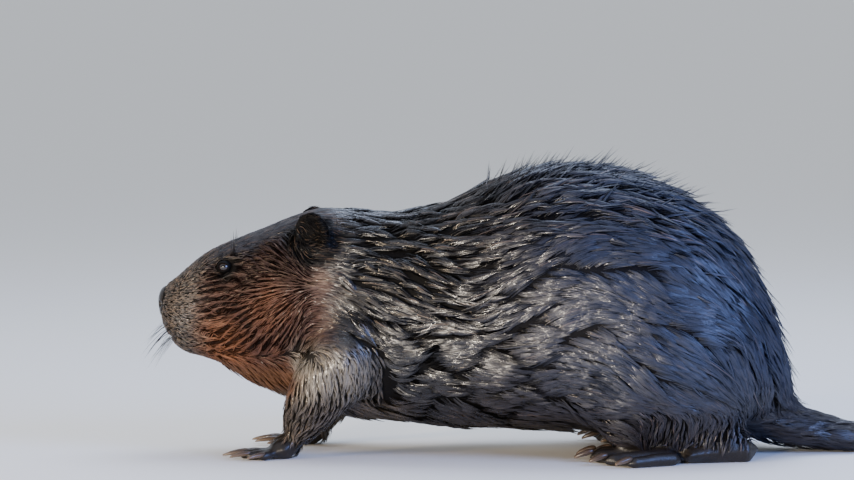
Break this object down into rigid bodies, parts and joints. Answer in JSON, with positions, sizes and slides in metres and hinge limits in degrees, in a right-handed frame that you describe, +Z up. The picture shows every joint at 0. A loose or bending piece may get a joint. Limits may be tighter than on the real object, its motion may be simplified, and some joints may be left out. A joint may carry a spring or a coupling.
{
  "type": "beaver",
  "caption": "Life-size still model of an adult North American beaver with a wet coat, crouched low on webbed feet, head held forward and flat scaly tail laid out behind.",
  "frame": {"origin": "on the floor, under the middle of the model's bounding box", "axes": "+X from the nose to the tail, +Y to the animal's right side, +Z up"},
  "size_m": [0.9094, 0.3105, 0.277],
  "materials": {
    "wet_coat": "wet guard hair in clumps, near-black brown with a blue sky sheen",
    "face_coat": "short wet hair, reddish brown on the cheeks, grey on the muzzle",
    "ear_skin": "thin black skin under short fine hair",
    "bare_skin": "dark pebbled skin, damp",
    "tail_scales": "dark grey leathery skin in small overlapping scales",
    "claw_horn": "dark brown horn, worn pale at the tips",
    "eye": "glossy, wet, almost black"
  },
  "bodies": {
    "root": {"nose": "bare_skin", "lower_jaw": "face_coat", "head": "face_coat", "neck": "wet_coat", "trunk": "wet_coat", "tail_root": "wet_coat", "tail_paddle": "tail_scales", "eye_left": "eye", "ear_left": "ear_skin", "fore_leg_left": "wet_coat", "fore_foot_left": "bare_skin", "fore_claw_left_1": "claw_horn", "fore_claw_left_2": "claw_horn", "fore_claw_left_3": "claw_horn", "fore_claw_left_4": "claw_horn", "fore_claw_left_5": "claw_horn", "hind_leg_left": "wet_coat", "hind_foot_left": "bare_skin", "hind_claw_left_1": "claw_horn", "hind_claw_left_2": "claw_horn", "hind_claw_left_3": "claw_horn", "hind_claw_left_4": "claw_horn", "hind_claw_left_5": "claw_horn", "eye_right": "eye", "ear_right": "ear_skin", "fore_leg_right": "wet_coat", "fore_foot_right": "bare_skin", "fore_claw_right_1": "claw_horn", "fore_claw_right_2": "claw_horn", "fore_claw_right_3": "claw_horn", "fore_claw_right_4": "claw_horn", "fore_claw_right_5": "claw_horn", "hind_leg_right": "wet_coat", "hind_foot_right": "bare_skin", "hind_claw_right_1": "claw_horn", "hind_claw_right_2": "claw_horn", "hind_claw_right_3": "claw_horn", "hind_claw_right_4": "claw_horn", "hind_claw_right_5": "claw_horn"}
  },
  "joints": []
}
